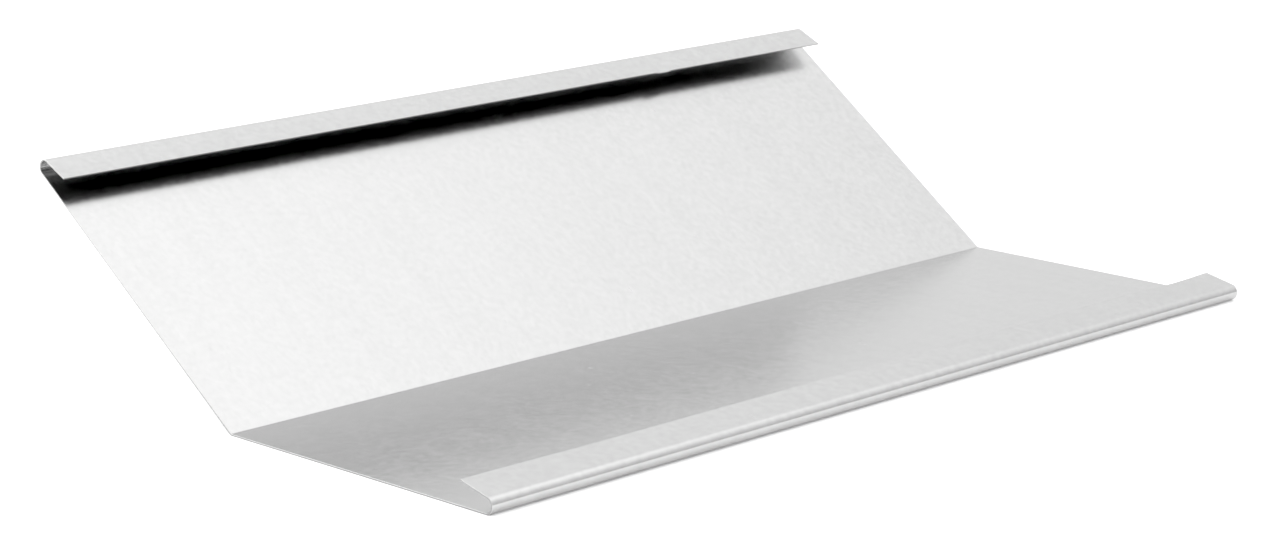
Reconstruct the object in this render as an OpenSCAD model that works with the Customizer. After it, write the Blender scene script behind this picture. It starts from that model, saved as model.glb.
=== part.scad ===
// Short length of V-shaped trough, folded from one sheet of bright metal.
// Two equal wings meet at a shallow valley fold, and each long edge is turned back
// inwards as an open hem. The trough rests on its base wing.
//
// The sheet is drawn zone by zone: flat leaves joined by true cylindrical bends.
// Neighbouring zones share a plane where they meet, so together they are the one closed
// sheet. The bend of each hem is three arcs in a row, so that the hull of each arc
// leaves the hollow of the hem open.
//
// X runs along the folds, +Y points from the base wing towards the rear wing, and
// +Z points up. The origin is the middle of the bounding box, on the resting plane.

/* [Sheet] */
// Thickness of the sheet
sheet_t = 0.7; // [0.4:0.05:1.5]
// Length of the trough along its folds
sheet_l = 450; // [100:10:3000]

/* [Wings] */
// Width of the base wing, from the valley line to the tip of its hem
base_w = 150; // [60:5:400]
// Width of the rear wing, from the valley line to the tip of its hem
rear_w = 150; // [60:5:400]
// Angle by which the rear wing is folded up from the base wing
fold_angle = 36; // [10:1:80]
// Radius inside the valley bend
valley_r = 0.8; // [0.4:0.1:5]

/* [Front hem] */
// Clear height inside the bend of the front hem
front_gap = 5.8; // [1:0.1:12]
// Width that the front hem covers, from its tip to its cut lip
front_hem_w = 17; // [13:0.1:40]
// Angle at which the front return stands open from the base wing
front_open = 12.5; // [0:0.5:25]

/* [Rear hem] */
// Clear height inside the bend of the rear hem
rear_gap = 5.8; // [1:0.1:12]
// Width that the rear hem covers, from its tip to its cut lip
rear_hem_w = 15.7; // [13:0.1:40]
// Angle at which the rear return stands open from the rear wing
rear_open = 9.5; // [0:0.5:25]

/* [Hidden] */
$fn = 96;

// Number of equal arcs in the bend of each hem, with a node for each
HEM_ARCS = 3;

// Inside radius of each hem's bend, and outside radii of all three bends
front_r = front_gap / 2;
rear_r = rear_gap / 2;
valley_or = valley_r + sheet_t;
front_or = front_r + sheet_t;
rear_or = rear_r + sheet_t;

// Distance from the valley line, where the undersides would meet, to each bend line
setback = valley_or * tan(fold_angle / 2);

// Flat part of each wing, between its bend lines
base_flat = base_w - setback - front_or;
rear_flat = rear_w - setback - rear_or;

// Flat part of a hem's return that brings its lip hem_w back from the tip
function return_flat(hem_w, or, open) = (hem_w - or * (1 - sin(open))) / cos(open);

// Centre of the rear hem's bend, as seen from the centre of the valley bend
rear_tip_y = rear_flat * cos(fold_angle) - (rear_r - valley_r) * sin(fold_angle);

// Place of the valley bend that centres the bounding box on Y
valley_y = (base_flat + front_or - rear_tip_y - rear_or) / 2;

// Flat leaf of the sheet: it starts at a bend line, lies on the XY plane and runs
// along +Y for its width.
module leaf(width) {
    translate([-sheet_l / 2, 0, 0])
        cube([sheet_l, width, sheet_t]);
}

// Bend that carries on from a leaf's far edge and turns it upwards, about an axis
// along X at the origin. The sheet enters it at the lowest point.
module bend(radius, angle) {
    translate([-sheet_l / 2, 0, 0])
        rotate([90, 0, 90])
            rotate([0, 0, -90])
                rotate_extrude(angle = angle)
                    translate([radius, 0])
                        square([sheet_t, sheet_l]);
}

// Frame of the base wing: children are drawn with +Y running from the valley outwards
// and the sheet's underside on the XY plane.
module on_base() {
    translate([0, valley_y, 0])
        mirror([0, 1, 0])
            children();
}

// The same frame for the rear wing, swung up about the axis of the valley bend.
module on_rear() {
    translate([0, valley_y, valley_or])
        rotate([fold_angle, 0, 0])
            translate([0, 0, -valley_or])
                children();
}

// Frame on the axis of a hem's bend, at the far edge of a wing's flat.
module at_hem(flat, or) {
    translate([0, flat, or])
        children();
}

// One of the equal arcs that make up the bend of a hem, counted from the wing.
module hem_arc(radius, turn, i) {
    rotate([i * turn / HEM_ARCS, 0, 0])
        bend(radius, turn / HEM_ARCS);
}

// Leaf turned back over its wing by a hem's bend.
module hem_return(hem_w, or, open) {
    rotate([180 - open, 0, 0])
        translate([0, 0, -or])
            leaf(return_flat(hem_w, or, open));
}

// Flat base that the trough rests on
module base_wing() {
    color("gainsboro")
        on_base()
            leaf(base_flat);
}

// Flat wing that rises towards the back
module rear_wing() {
    color("whitesmoke")
        on_rear()
            leaf(rear_flat);
}

// Fold between the two wings
module valley_bend() {
    color("lightgray")
        translate([0, valley_y, valley_or])
            bend(valley_r, fold_angle);
}

// One of the arcs in the bend of the front hem, counted from the wing
module front_hem_arc(i) {
    color("lightgray")
        on_base()
            at_hem(base_flat, front_or)
                hem_arc(front_r, 180 - front_open, i);
}

// Foot of the front hem's bend, against the base wing
module front_hem_bend_lower() {
    front_hem_arc(0);
}

// Rounded nose along the front edge
module front_hem_bend_nose() {
    front_hem_arc(1);
}

// Top of the front hem's bend, against the return
module front_hem_bend_upper() {
    front_hem_arc(2);
}

// Lip turned back over the base wing
module front_hem_return() {
    color("gainsboro")
        on_base()
            at_hem(base_flat, front_or)
                hem_return(front_hem_w, front_or, front_open);
}

// One of the arcs in the bend of the rear hem, counted from the wing
module rear_hem_arc(i) {
    color("lightgray")
        on_rear()
            at_hem(rear_flat, rear_or)
                hem_arc(rear_r, 180 - rear_open, i);
}

// Foot of the rear hem's bend, against the rear wing
module rear_hem_bend_lower() {
    rear_hem_arc(0);
}

// Rounded nose along the top edge
module rear_hem_bend_nose() {
    rear_hem_arc(1);
}

// Top of the rear hem's bend, against the return
module rear_hem_bend_upper() {
    rear_hem_arc(2);
}

// Lip turned back over the rear wing
module rear_hem_return() {
    color("gainsboro")
        on_rear()
            at_hem(rear_flat, rear_or)
                hem_return(rear_hem_w, rear_or, rear_open);
}

base_wing();
rear_wing();
valley_bend();
front_hem_bend_lower();
front_hem_bend_nose();
front_hem_bend_upper();
front_hem_return();
rear_hem_bend_lower();
rear_hem_bend_nose();
rear_hem_bend_upper();
rear_hem_return();
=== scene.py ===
"""A short V-shaped trough of bright folded sheet metal, on a plain pale floor.

The sheet is one continuous surface: a profile of flats and round bends that runs from the
front lip to the rear lip, swept along X. Each zone of the profile is a closed slab of the
sheet's thickness, and stands for the CAD nodes of that zone.
"""
import math
from collections import namedtuple

import bpy
import numpy as np
from mathutils import Matrix, Vector


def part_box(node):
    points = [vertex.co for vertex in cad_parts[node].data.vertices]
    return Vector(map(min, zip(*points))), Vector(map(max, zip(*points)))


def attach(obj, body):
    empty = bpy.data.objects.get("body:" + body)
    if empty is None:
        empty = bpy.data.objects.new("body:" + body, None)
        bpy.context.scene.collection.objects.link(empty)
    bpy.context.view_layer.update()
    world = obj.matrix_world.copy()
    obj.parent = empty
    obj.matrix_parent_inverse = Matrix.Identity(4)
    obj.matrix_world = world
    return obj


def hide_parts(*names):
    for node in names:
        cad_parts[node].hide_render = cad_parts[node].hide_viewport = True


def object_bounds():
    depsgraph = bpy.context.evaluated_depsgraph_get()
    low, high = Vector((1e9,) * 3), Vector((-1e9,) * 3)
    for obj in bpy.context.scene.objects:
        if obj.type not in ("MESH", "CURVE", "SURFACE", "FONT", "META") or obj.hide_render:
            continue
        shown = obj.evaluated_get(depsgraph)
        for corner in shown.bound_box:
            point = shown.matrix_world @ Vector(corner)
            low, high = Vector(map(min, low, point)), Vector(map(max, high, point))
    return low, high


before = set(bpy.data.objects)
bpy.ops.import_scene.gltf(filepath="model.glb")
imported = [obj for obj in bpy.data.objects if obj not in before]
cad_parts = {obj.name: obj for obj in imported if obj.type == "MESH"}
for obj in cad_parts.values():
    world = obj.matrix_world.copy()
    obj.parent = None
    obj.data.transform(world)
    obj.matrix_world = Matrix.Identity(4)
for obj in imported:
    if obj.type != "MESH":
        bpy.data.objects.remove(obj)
cad_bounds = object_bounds()

MM = 0.001


# ------------------------------------------------------------------ sizes of the sheet

def extents(node):
    """Size of a CAD node along X, Y and Z."""
    low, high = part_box(node)
    return [b - a for a, b in zip(low, high)]


SHEET_LENGTH, BASE_FLAT, SHEET_T = extents("base_wing")
REAR_FLAT = BASE_FLAT
FOLD_ANGLE = math.radians(36)
VALLEY_R = 0.8 * MM

# Each hem: inside radius of its bend, angle that it stands open by, and how far its lip
# reaches back over the wing, from the tip of the hem
FRONT_HEM_R = 2.9 * MM
FRONT_OPEN = math.radians(12.5)
FRONT_COVER = 17 * MM
REAR_HEM_R = 2.9 * MM
REAR_OPEN = math.radians(9.5)
REAR_COVER = 15.7 * MM


def return_flat(cover, radius, opening):
    """Flat width of a return whose lip lies cover back from the tip of its hem."""
    outer = radius + SHEET_T
    return (cover - outer * (1 - math.sin(opening))) / math.cos(opening)


def bend_width(radius, turn):
    """Width of a bend along the middle of the sheet, from its inside radius."""
    return (radius + SHEET_T / 2) * turn


def hem_nodes(side):
    """The CAD nodes of the bend of the front or the rear hem."""
    return [f"{side}_hem_bend_{part}" for part in ("lower", "nose", "upper")]


FRONT_RETURN = return_flat(FRONT_COVER, FRONT_HEM_R, FRONT_OPEN)
REAR_RETURN = return_flat(REAR_COVER, REAR_HEM_R, REAR_OPEN)
FRONT_TURN = math.pi - FRONT_OPEN
REAR_TURN = math.pi - REAR_OPEN

# The zones from the front lip to the rear lip: name, width along the middle of the sheet,
# angle that it turns through, and the CAD nodes that it stands for
ZONES = (
    ("front_lip", FRONT_RETURN, 0, ["front_hem_return"]),
    ("front_nose", bend_width(FRONT_HEM_R, FRONT_TURN), FRONT_TURN, hem_nodes("front")),
    ("base_sheet", BASE_FLAT, 0, ["base_wing"]),
    ("valley_fold", bend_width(VALLEY_R, FOLD_ANGLE), FOLD_ANGLE, ["valley_bend"]),
    ("rear_sheet", REAR_FLAT, 0, ["rear_wing"]),
    ("rear_nose", bend_width(REAR_HEM_R, REAR_TURN), REAR_TURN, hem_nodes("rear")),
    ("rear_lip", REAR_RETURN, 0, ["rear_hem_return"]),
)


# ------------------------------------------------------------------ the folded profile

Zone = namedtuple("Zone", "width y z heading curve")


def lay_out():
    """Each zone's width, its start in Y and Z, its heading there and its curvature, with the
    base wing where the CAD has it."""
    zones = {}
    y, z, heading = 0.0, 0.0, -FRONT_TURN
    for name, width, turn, _ in ZONES:
        zones[name] = Zone(width, y, z, heading, turn / width)
        if turn:
            radius = width / turn
            y += radius * (math.sin(heading + turn) - math.sin(heading))
            z -= radius * (math.cos(heading + turn) - math.cos(heading))
        else:
            y += width * math.cos(heading)
            z += width * math.sin(heading)
        heading += turn
    base, base_low = zones["base_sheet"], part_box("base_wing")[0]
    shift_y = base_low[1] - base.y
    shift_z = base_low[2] + SHEET_T / 2 - base.z
    return {n: zone._replace(y=zone.y + shift_y, z=zone.z + shift_z) for n, zone in zones.items()}


LAYOUT = lay_out()


def middle(zone, s):
    """Y, Z and heading of the middle of the sheet, s along a zone."""
    if zone.curve:
        turned = zone.heading + zone.curve * s
        y = zone.y + (np.sin(turned) - math.sin(zone.heading)) / zone.curve
        z = zone.z - (np.cos(turned) - math.cos(zone.heading)) / zone.curve
        return y, z, turned
    y = zone.y + s * math.cos(zone.heading)
    z = zone.z + s * math.sin(zone.heading)
    return y, z, zone.heading + 0 * s


# ------------------------------------------------------------------ how handling shaped it

# The random waves of each flat: their height, about their length, and their seed
WAVES = {
    "base_sheet": (0.12 * MM, 170 * MM, 3),
    "rear_sheet": (0.12 * MM, 150 * MM, 8),
    "front_lip": (0.10 * MM, 120 * MM, 21),
    "rear_lip": (0.10 * MM, 130 * MM, 34),
}
WAVE_COUNT = 5
SHORTEST_WAVE, LONGEST_WAVE = 0.6, 1.8  # as parts of a flat's wavelength

# The lips spring open a little, the front one at its left end and the rear one all along, and
# the front one dips shortly before its right end
FRONT_LIP_SPRING = 0.40 * MM
FRONT_SPRING_REACH = 70 * MM
FRONT_LIP_DIP = 0.75 * MM
FRONT_DIP_AT = SHEET_LENGTH / 2 - 24 * MM
FRONT_DIP_REACH = 30 * MM
REAR_LIP_SPRING = 0.30 * MM
LIP_CURL = 1.5  # power by which a lip's offset grows from its bend to its cut edge

# A short stretch of the rear lip is cut a little wider, with a sharp left end
STEP_FROM, STEP_TO = 112 * MM, 123 * MM
STEP_WIDER = 0.65 * MM
STEP_SHARP, STEP_SOFT = 0.8 * MM, 4 * MM
STEP_CURL = 4  # power by which the extra width grows from the bend to the cut edge


def waves(name, x):
    """The random waves of a flat at x, smooth, and no higher or deeper than its wave height."""
    height, wavelength, seed = WAVES[name]
    rng = np.random.default_rng(seed)
    lengths = wavelength * rng.uniform(SHORTEST_WAVE, LONGEST_WAVE, WAVE_COUNT)
    phases = rng.uniform(0, 2 * math.pi, WAVE_COUNT)
    total = sum(np.sin(2 * math.pi * x / w + p) for w, p in zip(lengths, phases))
    return height * total / WAVE_COUNT


def belly(s, width):
    """0 at both edges of a flat and 1 across its middle."""
    return np.sin(math.pi * np.clip(s / width, 0, 1)) ** 2


def swell(x, centre, reach):
    """1 at a place along x, falling smoothly to 0 that far to either side."""
    return np.cos(math.pi / 2 * np.clip((x - centre) / reach, -1, 1)) ** 2


def ramp(x, start, end):
    """Rises smoothly from 0 at start to 1 at end."""
    t = np.clip((x - start) / (end - start), 0, 1)
    return t * t * (3 - 2 * t)


def lift(name, s, x):
    """How far the sheet stands in from its true profile, towards the inside of the fold."""
    width = LAYOUT[name].width
    if name == "base_sheet":
        # Only inwards, because its outer face rests on the floor
        return (WAVES[name][0] + waves(name, x)) / 2 * belly(s, width)
    if name == "rear_sheet":
        return waves(name, x) * belly(s, width)
    if name == "front_lip":
        spring = FRONT_LIP_SPRING * swell(x, -SHEET_LENGTH / 2, FRONT_SPRING_REACH)
        dip = FRONT_LIP_DIP * swell(x, FRONT_DIP_AT, FRONT_DIP_REACH)
        from_bend = np.clip(1 - s / width, 0, None)
        return (waves(name, x) + dip - spring) * from_bend ** LIP_CURL
    if name == "rear_lip":
        from_bend = np.clip(s / width, 0, None)
        return (waves(name, x) - REAR_LIP_SPRING) * from_bend ** LIP_CURL
    return 0 * s * x


def cut_wider(name, s, x):
    """How much further along its zone the sheet reaches at s, where its edge was cut uneven."""
    if name != "rear_lip":
        return 0 * s * x
    step = ramp(x, STEP_FROM, STEP_FROM + STEP_SHARP) * ramp(x, STEP_TO, STEP_TO - STEP_SOFT)
    return STEP_WIDER * step * np.clip(s / LAYOUT[name].width, 0, None) ** STEP_CURL


def place(name, s, x, n):
    """Points of the sheet: s along a zone, x along the fold, n from the outer face inwards."""
    y, z, heading = middle(LAYOUT[name], s + cut_wider(name, s, x))
    out = n - SHEET_T / 2 + lift(name, s, x)
    return np.stack([x + 0 * s, y - np.sin(heading) * out, z + np.cos(heading) * out], -1)


# ------------------------------------------------------------------ closed slabs

EDGE_R = 0.12 * MM  # rounding that the shear leaves on the cut edges
EDGE_STEPS = 3
FLAT_STEP = 6 * MM
LIP_STEP = 1.2 * MM
BEND_STEP = math.radians(4)
PROBE = 0.01 * MM  # distance to either side over which the sheet's slopes are taken


def lines(low, high, cells, cut_low, cut_high):
    """Grid lines from low to high. For each: where it is, the angle of the rounding there (a
    right angle on the open face, less on a cut edge), and its side, which is -1 on the low cut
    edge, 1 on the high one and 0 between them."""
    arc = np.arange(EDGE_STEPS) / EDGE_STEPS * math.pi / 2
    low_arc, high_arc = arc[:EDGE_STEPS * cut_low], arc[:EDGE_STEPS * cut_high][::-1]
    face = np.linspace(low + EDGE_R * cut_low, high - EDGE_R * cut_high, cells + 1)
    at = np.concatenate([
        low + EDGE_R * (1 - np.cos(low_arc)),
        face,
        high - EDGE_R * (1 - np.cos(high_arc)),
    ])
    angle = np.concatenate([low_arc, np.full(len(face), math.pi / 2), high_arc])
    side = np.repeat([-1, 0, 1], [len(low_arc), len(face), len(high_arc)])
    return at, angle, side


def unit(v):
    """Vectors of length 1."""
    return v / np.linalg.norm(v, axis=-1, keepdims=True)


def face_grid(name, s_lines, x_lines, inner):
    """Points and normals of the inner or the outer face of a zone, with its cut edges rounded."""
    (s, s_angle, s_side), (x, x_angle, x_side) = s_lines, x_lines
    s, x = s[:, None], x[None, :]
    drop = EDGE_R * (1 - np.minimum(np.sin(s_angle)[:, None], np.sin(x_angle)[None, :]))
    n = SHEET_T - drop if inner else drop
    points = place(name, s, x, n)
    along = unit(place(name, s + PROBE, x, n) - place(name, s - PROBE, x, n))
    across = unit(place(name, s, x + PROBE, n) - place(name, s, x - PROBE, n))
    up = unit(np.cross(across, along)) * (1 if inner else -1)
    lean_s = (np.cos(s_angle) * s_side)[:, None, None]
    lean_x = (np.cos(x_angle) * x_side)[None, :, None]
    rise = np.sqrt(np.clip(1 - lean_s ** 2 - lean_x ** 2, 0, 1))
    normals = unit(up * rise + along * lean_s + across * lean_x)
    return points.reshape(-1, 3), normals.reshape(-1, 3)


def slab_faces(rows, columns):
    """The quads of a slab's outer and inner face, and then those of its four walls. The outer
    face's points come first, row by row, and then the inner face's."""
    outer = np.arange(rows * columns).reshape(rows, columns)
    inner = outer + rows * columns

    def quads(a, b, c, d):
        return np.stack([a.ravel(), b.ravel(), c.ravel(), d.ravel()], -1)

    faces = [
        quads(outer[:-1, :-1], outer[1:, :-1], outer[1:, 1:], outer[:-1, 1:]),
        quads(inner[:-1, :-1], inner[:-1, 1:], inner[1:, 1:], inner[1:, :-1]),
    ]
    walls = [
        quads(outer[0, :-1], outer[0, 1:], inner[0, 1:], inner[0, :-1]),
        quads(outer[-1, 1:], outer[-1, :-1], inner[-1, :-1], inner[-1, 1:]),
        quads(outer[1:, 0], outer[:-1, 0], inner[:-1, 0], inner[1:, 0]),
        quads(outer[:-1, -1], outer[1:, -1], inner[1:, -1], inner[:-1, -1]),
    ]
    return np.concatenate(faces), np.concatenate(walls)


def add_object(name, data):
    """A new object in the scene."""
    made = bpy.data.objects.new(name, data)
    bpy.context.scene.collection.objects.link(made)
    return made


def slab(name, nodes, face_material, wall_material):
    """One zone of the sheet as a closed mesh, riding on the part and standing for its nodes."""
    zone = LAYOUT[name]
    step = LIP_STEP if name.endswith("_lip") else FLAT_STEP
    if zone.curve:
        cells = math.ceil(zone.width * zone.curve / BEND_STEP)
    else:
        cells = math.ceil(zone.width / step)
    first, last = name == "front_lip", name == "rear_lip"
    s_lines = lines(0, zone.width, cells, cut_low=first, cut_high=last)
    half, columns = SHEET_LENGTH / 2, math.ceil(SHEET_LENGTH / step)
    x_lines = lines(-half, half, columns, cut_low=True, cut_high=True)
    outer_points, outer_normals = face_grid(name, s_lines, x_lines, inner=False)
    inner_points, inner_normals = face_grid(name, s_lines, x_lines, inner=True)
    points = np.concatenate([outer_points, inner_points])
    normals = np.concatenate([outer_normals, inner_normals])
    faces, walls = slab_faces(len(s_lines[0]), len(x_lines[0]))

    mesh = bpy.data.meshes.new(name)
    mesh.from_pydata(points.tolist(), [], np.concatenate([faces, walls]).tolist())
    mesh.materials.append(face_material)
    mesh.materials.append(wall_material)
    slots = np.repeat(np.array([0, 1], dtype=np.int32), [len(faces), len(walls)])
    mesh.polygons.foreach_set("material_index", slots)
    mesh.polygons.foreach_set("use_smooth", np.ones(len(slots), dtype=bool))
    mesh.normals_split_custom_set_from_vertices(normals.tolist())
    mesh.update()
    piece = add_object(name, mesh)
    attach(piece, "root")
    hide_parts(*nodes)


# ------------------------------------------------------------------ shader nodes

def node(tree, kind, **values):
    """A shader node. Each value goes to the input socket of that name, or else to the node's
    own setting. Underscores stand for the spaces in a socket's name."""
    made = tree.nodes.new(kind)
    for key, value in values.items():
        socket = key.replace("_", " ")
        if socket in made.inputs:
            made.inputs[socket].default_value = value
        else:
            setattr(made, key, value)
    return made


def maths(tree, kind, operation, *values):
    """A maths node of that kind, on sockets and constants."""
    made = node(tree, kind, operation=operation)
    for socket, value in zip(made.inputs, values):
        if isinstance(value, bpy.types.NodeSocket):
            tree.links.new(value, socket)
        else:
            socket.default_value = value
    return made


def scalar(tree, operation, a, b):
    """The result of an operation on two values."""
    return maths(tree, "ShaderNodeMath", operation, a, b).outputs["Value"]


def vector(tree, operation, *values):
    """A maths node on vectors, with its result at its output Vector or Value."""
    return maths(tree, "ShaderNodeVectorMath", operation, *values)


def add_all(tree, *values):
    """The sum of values."""
    total = values[0]
    for value in values[1:]:
        total = scalar(tree, "ADD", total, value)
    return total


def spread(tree, value, low, high, start=0.3, end=0.7):
    """Maps start..end to low..high. Without a start and end, it maps a noise's middle range."""
    limits = {"From_Min": start, "From_Max": end, "To_Min": low, "To_Max": high}
    mapped = node(tree, "ShaderNodeMapRange", **limits)
    tree.links.new(value, mapped.inputs["Value"])
    return mapped.outputs["Result"]


def new_material(name, **values):
    """A material with its tree, its Principled shader with those values, and its object
    coordinates."""
    material = bpy.data.materials.new(name)
    material.use_nodes = True
    tree = material.node_tree
    tree.nodes.clear()
    shader = node(tree, "ShaderNodeBsdfPrincipled", **values)
    output = node(tree, "ShaderNodeOutputMaterial")
    tree.links.new(shader.outputs["BSDF"], output.inputs["Surface"])
    coordinates = node(tree, "ShaderNodeTexCoord").outputs["Object"]
    return material, tree, shader, coordinates


def noise(tree, coordinates, cells, detail=2.0):
    """Noise whose cells have that size in metres along X, Y and Z."""
    mapping = node(tree, "ShaderNodeMapping", Scale=[1 / size for size in cells])
    tree.links.new(coordinates, mapping.inputs["Vector"])
    made = node(tree, "ShaderNodeTexNoise", Scale=1.0, Detail=detail, Roughness=0.5)
    tree.links.new(mapping.outputs["Vector"], made.inputs["Vector"])
    return made.outputs["Fac"]


def mark(tree, coordinates, centre, size):
    """A soft spot on the sheet: 1 at its centre, and 0 at size from there and beyond."""
    offset = vector(tree, "SUBTRACT", coordinates, centre)
    scaled = vector(tree, "DIVIDE", offset.outputs["Vector"], size)
    length = vector(tree, "LENGTH", scaled.outputs["Vector"])
    return spread(tree, length.outputs["Value"], 1.0, 0.0, 0.0, 1.0)


def between(tree, factor, first, second):
    """A grey between two greys."""
    mix = node(tree, "ShaderNodeMix", data_type="RGBA")
    mix.inputs["A"].default_value = (first, first, first, 1)
    mix.inputs["B"].default_value = (second, second, second, 1)
    tree.links.new(factor, mix.inputs["Factor"])
    return mix.outputs["Result"]


def relief(tree, shader, height, strength, distance):
    """Gives a surface fine relief, by bump."""
    bump = node(tree, "ShaderNodeBump", Strength=strength, Distance=distance)
    tree.links.new(height, bump.inputs["Height"])
    tree.links.new(bump.outputs["Normal"], shader.inputs["Normal"])


# ------------------------------------------------------------------ materials

# The sheet's patterns: the size of their cells along X, Y and Z, how detailed they are, and how
# much they change the tone and, for some, the roughness of the metal
Pattern = namedtuple("Pattern", "cells detail tone roughness", defaults=(0,))
GRAIN = Pattern((2.9 * MM, 3.1 * MM, 3.1 * MM), 1.5, 0.014, 0.015)
STREAKS = Pattern((1.0 * MM, 2.4 * MM, 2.4 * MM), 1.0, 0.004)
BANDS = Pattern((7 * MM, 200 * MM, 200 * MM), 2.0, 0.005)
CLOUDS = Pattern((14 * MM, 20 * MM, 20 * MM), 2.0, 0.004, 0.008)
SCUFFS = Pattern((2.5 * MM, 9 * MM, 9 * MM), 3.0, -0.02, 0.025)
SCUFFS_FROM, SCUFFS_FULL = 0.70, 0.78  # only the peaks of their noise are scuffs

SHEET_TONE = 0.52
SHEET_ROUGHNESS = 0.25
SHEET_ANISOTROPY = 0.45
SHEET_RELIEF = {"strength": 0.06, "distance": 0.02 * MM}

SMUDGE_AT, SMUDGE_SIZE = (-200 * MM, -15 * MM, 0), (9 * MM, 17 * MM, 17 * MM)
SMUDGE_TONE = -0.04
SPECK_AT, SPECK_SIZE = (-148 * MM, -58 * MM, 0), (1.3 * MM, 1.6 * MM, 2 * MM)
SPECK_TONE = -0.10

EDGE_GREYS = 0.28, 0.38
EDGE_ROUGHNESS = 0.40, 0.60
EDGE_MARKS = (0.15 * MM, 0.15 * MM, 0.15 * MM)
EDGE_RELIEF = {"strength": 0.3, "distance": 0.03 * MM}


def sheet_metal():
    """Bright rolled sheet: a fine grain, faint streaks and bands across the wings, clouds,
    scuffs, a smudge and a speck."""
    material, tree, shader, coordinates = new_material(
        "bright_sheet", Metallic=1.0, Anisotropic=SHEET_ANISOTROPY)
    along_folds = node(tree, "ShaderNodeCombineXYZ", X=1.0)
    tree.links.new(along_folds.outputs["Vector"], shader.inputs["Tangent"])

    patterns = (GRAIN, STREAKS, BANDS, CLOUDS, SCUFFS)
    grain, streaks, bands, clouds, scuffs = (
        noise(tree, coordinates, pattern.cells, pattern.detail) for pattern in patterns)
    scuffed = spread(tree, scuffs, 0.0, 1.0, SCUFFS_FROM, SCUFFS_FULL)
    smudge = scalar(tree, "MULTIPLY", mark(tree, coordinates, SMUDGE_AT, SMUDGE_SIZE), clouds)
    speck = mark(tree, coordinates, SPECK_AT, SPECK_SIZE)
    tone = add_all(
        tree, SHEET_TONE,
        spread(tree, grain, -GRAIN.tone, GRAIN.tone),
        spread(tree, streaks, -STREAKS.tone, STREAKS.tone),
        spread(tree, bands, -BANDS.tone, BANDS.tone),
        spread(tree, clouds, -CLOUDS.tone, CLOUDS.tone),
        scalar(tree, "MULTIPLY", scuffed, SCUFFS.tone),
        scalar(tree, "MULTIPLY", smudge, SMUDGE_TONE),
        scalar(tree, "MULTIPLY", speck, SPECK_TONE),
    )
    colour = node(tree, "ShaderNodeCombineColor")
    for channel in ("Red", "Green", "Blue"):
        tree.links.new(tone, colour.inputs[channel])
    tree.links.new(colour.outputs["Color"], shader.inputs["Base Color"])

    rough = add_all(
        tree, SHEET_ROUGHNESS,
        spread(tree, grain, -GRAIN.roughness, GRAIN.roughness),
        spread(tree, clouds, -CLOUDS.roughness, CLOUDS.roughness),
        scalar(tree, "MULTIPLY", scuffed, SCUFFS.roughness),
    )
    tree.links.new(rough, shader.inputs["Roughness"])
    relief(tree, shader, streaks, **SHEET_RELIEF)
    return material


def cut_edge():
    """The sheared wall of the sheet: duller, with fine marks through its thickness."""
    material, tree, shader, coordinates = new_material("sheared_edge", Metallic=1.0)
    marks = noise(tree, coordinates, EDGE_MARKS)
    tree.links.new(between(tree, marks, *EDGE_GREYS), shader.inputs["Base Color"])
    tree.links.new(spread(tree, marks, *EDGE_ROUGHNESS), shader.inputs["Roughness"])
    relief(tree, shader, marks, **EDGE_RELIEF)
    return material


# ------------------------------------------------------------------ stage, lights and camera

FLOOR_SIZE = 12.0
FLOOR_GAP = 0.02 * MM  # keeps the floor and the underside from being one surface
FLOOR_GREYS = 0.95, 0.97
FLOOR_SPECKLE = (3 * MM, 3 * MM, 3 * MM)
FLOOR_ROUGHNESS = 0.9
FLOOR_SPECULAR = 0.1
FLOOR_GLOW = 0.12

FILL_AT = Vector((-0.55, 0.45, 0.45))
FILL_TOWARDS = Vector((-0.15, 0.09, 0))
FILL_SIZE = (0.8, 0.5)
FILL_RADIANCE = 2.4

# The tent of light, by the X, Y and Z of a direction of length 1. It grows brighter from the
# horizon up to BRIGHTEST_AT. Overhead it is dimmer by ZENITH_DROP, far to the right it falls to
# RIGHT_DIM of itself, and low in front, where the room is darker, it loses ROOM_DARK of itself.
# Each of these three comes in between the limits that follow it
TENT_LOW, TENT_HIGH = 1.36, 1.71
BRIGHTEST_AT = 0.60
ZENITH_DROP, ZENITH_Z = 0.30, (0.80, 1.0)
RIGHT_DIM, RIGHT_X = 0.89, (0.55, 0.80)
ROOM_DARK, ROOM_Y, ROOM_Z = 0.24, (-0.60, -0.40), (0.10, 0.52)
# Each glow: the direction it comes from, the angles within which it is full and beyond which
# there is none, and its radiance
GLOWS = (
    ((0.39, -0.05, 0.915), 9, 27, 0.78),
    ((0.44, -0.43, 0.79), 8, 19, 0.60),
)

BLACK_LEVEL = 0.017

# The camera that was fitted to the sheet's edges and corners in the photograph
CAMERA_AZIMUTH = math.radians(-44.76)
CAMERA_ELEVATION = math.radians(13.32)
CAMERA_ROLL = math.radians(-0.25)
CAMERA_AIM = Vector((-10.7, 5.8, 31.4)) * MM
CAMERA_DISTANCE = 1.465
CAMERA_LENS, CAMERA_SENSOR = 96.8, 36  # both in millimetres
CAMERA_CLIP = 0.05, 50


def floor():
    """A plain pale floor under the part."""
    material, tree, shader, coordinates = new_material(
        "pale_floor", Roughness=FLOOR_ROUGHNESS, Specular_IOR_Level=FLOOR_SPECULAR,
        Emission_Color=(1, 1, 1, 1), Emission_Strength=FLOOR_GLOW)
    speckle = noise(tree, coordinates, FLOOR_SPECKLE)
    tree.links.new(between(tree, speckle, *FLOOR_GREYS), shader.inputs["Base Color"])
    mesh = bpy.data.meshes.new("floor")
    h = FLOOR_SIZE / 2
    mesh.from_pydata([(-h, -h, 0), (h, -h, 0), (h, h, 0), (-h, h, 0)], [], [(0, 1, 2, 3)])
    mesh.materials.append(material)
    made = add_object("floor", mesh)
    made.location.z = cad_bounds[0].z - FLOOR_GAP


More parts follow.
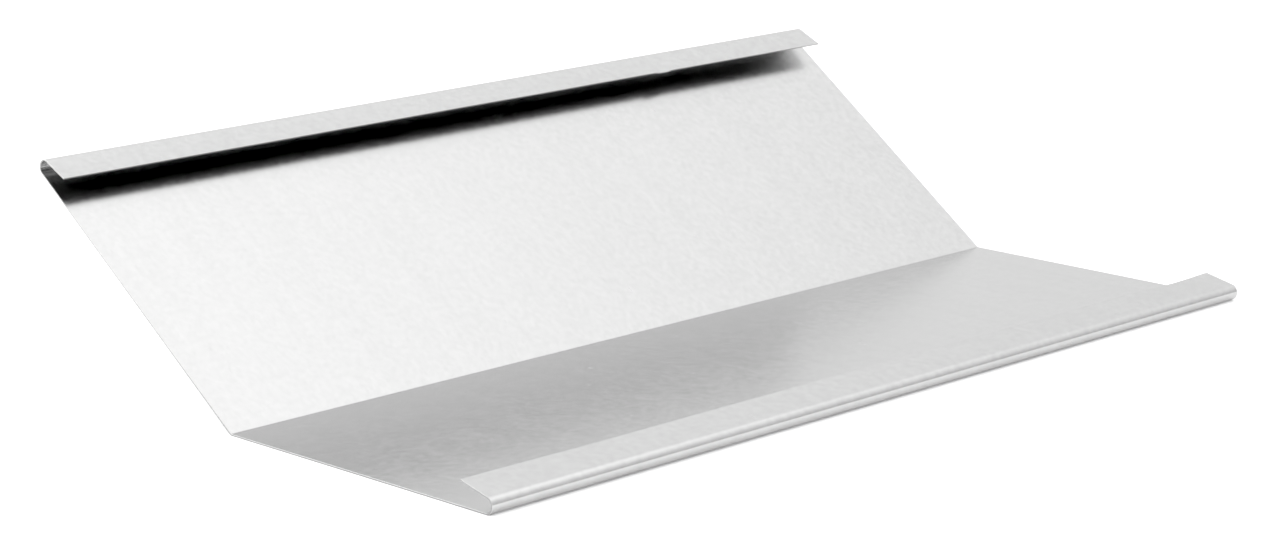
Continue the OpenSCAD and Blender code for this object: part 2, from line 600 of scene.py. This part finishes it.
def fill_light():
    """A soft light behind the part on the left, which opens the shadow under its wing."""
    data = bpy.data.lights.new("fill_light", "AREA")
    data.shape = "RECTANGLE"
    data.size, data.size_y = FILL_SIZE
    data.energy = FILL_RADIANCE * math.pi * FILL_SIZE[0] * FILL_SIZE[1]
    made = add_object("fill_light", data)
    made.location = FILL_AT
    made.rotation_euler = (FILL_TOWARDS - FILL_AT).to_track_quat("-Z", "Y").to_euler()


def studio():
    """A white tent of light, brightest some way up and dimmer overhead and far to the right, with
    soft glows above the part's right side and the darker camera side in front."""
    world = bpy.data.worlds.new("studio")
    bpy.context.scene.world = world
    world.use_nodes = True
    tree = world.node_tree
    tree.nodes.clear()
    output = node(tree, "ShaderNodeOutputWorld")
    background = node(tree, "ShaderNodeBackground")
    tree.links.new(background.outputs["Background"], output.inputs["Surface"])
    direction = node(tree, "ShaderNodeTexCoord").outputs["Generated"]
    split = node(tree, "ShaderNodeSeparateXYZ")
    tree.links.new(direction, split.inputs["Vector"])
    x, y, z = split.outputs

    rise = spread(tree, z, TENT_LOW, TENT_HIGH, 0.0, BRIGHTEST_AT)
    zenith = spread(tree, z, 0.0, ZENITH_DROP, *ZENITH_Z)
    rightwards = spread(tree, x, 1.0, RIGHT_DIM, *RIGHT_X)
    tent = scalar(tree, "MULTIPLY", scalar(tree, "SUBTRACT", rise, zenith), rightwards)

    in_front = spread(tree, y, 1.0, 0.0, *ROOM_Y)
    low_down = spread(tree, z, 1.0, 0.0, *ROOM_Z)
    dark = scalar(tree, "MULTIPLY", scalar(tree, "MULTIPLY", in_front, low_down), ROOM_DARK)

    strength = scalar(tree, "MULTIPLY", tent, scalar(tree, "SUBTRACT", 1.0, dark))
    for centre, full_within, none_beyond, radiance in GLOWS:
        facing = vector(tree, "DOT_PRODUCT", direction, Vector(centre).normalized())
        edge, core = math.cos(math.radians(none_beyond)), math.cos(math.radians(full_within))
        glow = spread(tree, facing.outputs["Value"], 0.0, radiance, edge, core)
        strength = scalar(tree, "ADD", strength, glow)
    tree.links.new(strength, background.inputs["Strength"])


def grade():
    """Plain colours, with the deepest shadows taken down to black."""
    settings = bpy.context.scene.view_settings
    settings.view_transform = "Standard"
    settings.use_curve_mapping = True
    settings.curve_mapping.black_level = (BLACK_LEVEL,) * 3
    settings.curve_mapping.update()


def camera():
    """The photograph's view: a long lens, from the front left and a little above."""
    data = bpy.data.cameras.new("camera")
    data.sensor_width = CAMERA_SENSOR
    data.lens = CAMERA_LENS
    data.clip_start, data.clip_end = CAMERA_CLIP
    forward = Vector((
        -math.sin(CAMERA_AZIMUTH) * math.cos(CAMERA_ELEVATION),
        math.cos(CAMERA_AZIMUTH) * math.cos(CAMERA_ELEVATION),
        -math.sin(CAMERA_ELEVATION),
    ))
    right = Vector((math.cos(CAMERA_AZIMUTH), math.sin(CAMERA_AZIMUTH), 0))
    up = right.cross(forward)
    rolled_right = right * math.cos(CAMERA_ROLL) + up * math.sin(CAMERA_ROLL)
    rolled_up = up * math.cos(CAMERA_ROLL) - right * math.sin(CAMERA_ROLL)
    turn = Matrix((rolled_right, rolled_up, -forward)).transposed().to_4x4()
    made = add_object("camera", data)
    made.matrix_world = Matrix.Translation(CAMERA_AIM - forward * CAMERA_DISTANCE) @ turn
    bpy.context.scene.camera = made


camera()
metal, sheared = sheet_metal(), cut_edge()
for zone_name, _, _, zone_nodes in ZONES:
    slab(zone_name, zone_nodes, metal, sheared)
floor()
studio()
fill_light()
grade()
